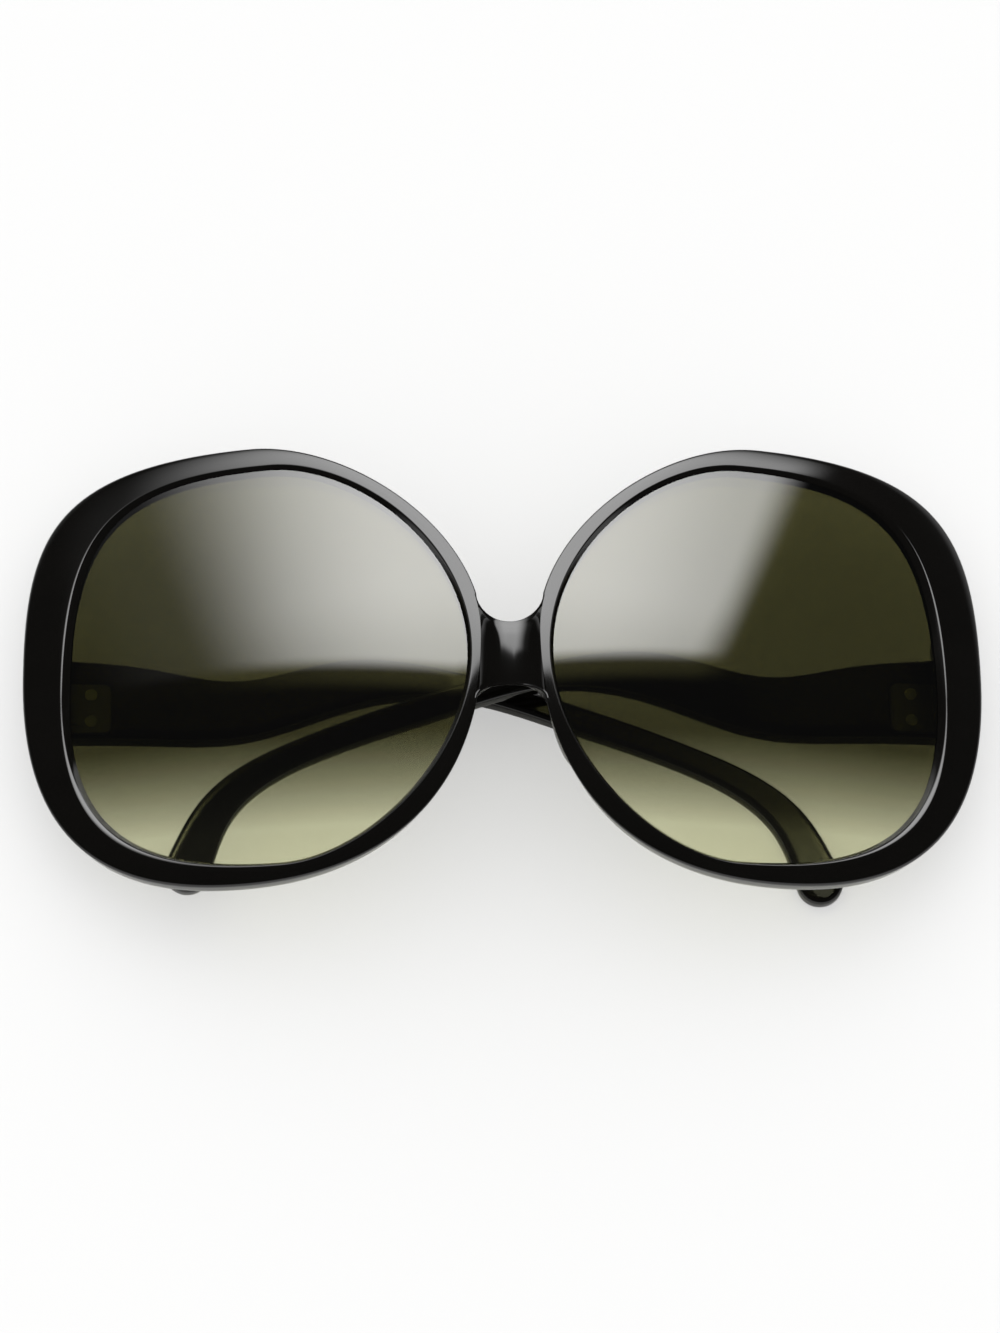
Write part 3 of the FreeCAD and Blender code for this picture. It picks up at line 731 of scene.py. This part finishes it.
def makeTable():
    half = table["size"] / 2
    corners = [(-half, -half, 0), (half, -half, 0), (half, half, 0), (-half, half, 0)]
    mesh = bpy.data.meshes.new("table_top")
    mesh.from_pydata(corners, [], [(0, 1, 2, 3)])
    material, tree = newMaterial("pale_table")
    paint = tree.add("ShaderNodeBsdfDiffuse", {}, {"Color": table["colour"]})
    clear = tree.add("ShaderNodeBsdfTransparent", {}, {"Color": white})
    camera = tree.add("ShaderNodeLightPath", out="Is Camera Ray")
    solid = 1.0 - (1 - table["body"]) * camera
    tree.finish(tree.add("ShaderNodeMixShader", {}, {0: solid, 1: clear, 2: paint}))
    mesh.materials.append(material)
    top = newObject("table_top", mesh)


# white to the eye; reflections see a white wall round the table, which ends between low and high,
# and a dim ceiling; a soft dome, from its edge to its brightest side, lights the rest
sky = {
    "white": 1.0, "ceiling": 0.04, "low": 0.02, "high": 0.25,
    "dome": (0.51, 1.63), "towards": (-0.1, 0.42, 0.91),
}


def makeSky():
    world = bpy.data.worlds.new("studio")
    bpy.context.scene.world = world
    tree = Tree(world)
    rays = ("Is Camera Ray", "Is Glossy Ray", "Is Transmission Ray")
    camera, glossy, through = (tree.add("ShaderNodeLightPath", out=k) for k in rays)
    seen = camera.either(through)
    mirrored = glossy * (1.0 - seen)
    place = tree.add("ShaderNodeTexCoord", out="Generated")
    height = tree.add("ShaderNodeSeparateXYZ", {}, {0: place}, out="Z")
    wall = sky["white"] + (sky["ceiling"] - sky["white"]) * height.ramp(sky["low"], sky["high"])
    towards = {0: place, 1: Vector(sky["towards"]).normalized()}
    lift = tree.add("ShaderNodeVectorMath", {"operation": "DOT_PRODUCT"}, towards, out="Value").clamp()
    dome = sky["dome"][0] + (sky["dome"][1] - sky["dome"][0]) * lift * lift
    strength = sky["white"] * seen + wall * mirrored + dome * (1.0 - seen.either(mirrored))
    light = tree.add("ShaderNodeBackground", {}, {"Color": white, "Strength": strength})
    tree.finish(light, "ShaderNodeOutputWorld")


# panel behind the brow, square to a line 45 degrees up, that shows in reflections
# its edges and slants are shares of its distance
softbox = {
    "distance": 0.9, "facing": (0, 1, 1), "upward": (0, -1, 1), "radiance": 7.7,
    "left": -1.25, "right": 0.85, "low": -0.45, "high": 0.66,
    "leftEdge": (-0.84, -0.13), "lowEdge": (-0.45, -0.15), "spill": 0.022, "spillEdge": (-1.25, -0.75),
    "rightFall": (0.20, 0.65, 0.35), "rightEdge": (0.76, 0.62), "rightSlant": 0.20,
    "highFall": (0.33, 0.61, 0.25), "highEdge": (0.64, 0.58), "highPeak": -0.08, "highSlant": 0.15,
}


def panelGlow(u, v):
    # each fall is a start, an end and what is lost between them; each edge goes from dark to full light
    s = softbox
    glow = s["spill"] * u.ramp(*s["spillEdge"]) + (1 - s["spill"]) * u.ramp(*s["leftEdge"])
    start, end, lost = s["rightFall"]
    glow = glow * v.ramp(*s["lowEdge"]) * (1.0 - lost * u.ramp(start, end))
    start, end, lost = s["highFall"]
    glow = glow * (1.0 - lost * v.ramp(start, end))
    gable = s["highSlant"] * u.math("ABSOLUTE", u - s["highPeak"])
    return glow * (u + s["rightSlant"] * v).ramp(*s["rightEdge"]) * (v + gable).ramp(*s["highEdge"])


def makeSoftbox():
    s = softbox
    d, wide, tall = s["distance"], s["right"] - s["left"], s["high"] - s["low"]
    light = bpy.data.lights.new("softbox", "AREA")
    light.shape = "RECTANGLE"
    light.size, light.size_y = wide * d, tall * d
    light.energy = s["radiance"] * math.pi * light.size * light.size_y
    tree = Tree(light)
    uv = tree.add("ShaderNodeNewGeometry", out="Parametric")
    u, v = (tree.add("ShaderNodeSeparateXYZ", {}, {0: uv}, out=k) for k in ("X", "Y"))
    glow = panelGlow(s["left"] + wide * u, s["low"] + tall * v)
    emission = tree.add("ShaderNodeEmission", {}, {"Color": white, "Strength": glow})
    tree.finish(emission, "ShaderNodeOutputLight")
    right = Vector((1, 0, 0))
    upward, facing = Vector(s["upward"]).normalized(), Vector(s["facing"]).normalized()
    middle = right * (s["left"] + s["right"]) / 2 + upward * (s["low"] + s["high"]) / 2 + facing
    lamp = newObject("softbox", light)
    lamp.visible_camera = False
    lamp.visible_diffuse = False
    lamp.matrix_world = standing(middle * d, right, upward, facing)


# camera fitted to the photograph: scale in pixels per millimetre at the target
shot = {
    "elevation": 71.0, "side": 3.0, "distance": 800.0, "scale": 6.29, "frame": (1000, 1333),
    "target": (0, 1.35, 12.0), "across": -0.78, "upward": 0.87,
}


def makeCamera():
    s = shot
    tilt, side = math.radians(90 - s["elevation"]), math.radians(s["side"])
    square = Vector((0, -math.sin(tilt), math.cos(tilt)))
    back = square * math.cos(side) - Vector((math.sin(side), 0, 0))
    right = square * math.sin(side) + Vector((math.cos(side), 0, 0))
    up = Vector((0, math.cos(tilt), math.sin(tilt)))
    camera = bpy.data.cameras.new("camera")
    camera.lens = s["scale"] * s["distance"] * camera.sensor_width / max(s["frame"])
    eye = Vector(s["target"]) + right * s["across"] + up * s["upward"] + back * s["distance"]
    holder = newObject("camera", camera)
    holder.matrix_world = standing(eye * mm, right, up, back)
    bpy.context.scene.camera = holder


makeTable()
makeSky()
makeSoftbox()
makeCamera()
bpy.context.scene.view_settings.view_transform = "Standard"
print("stage: table, sky, softbox, camera")
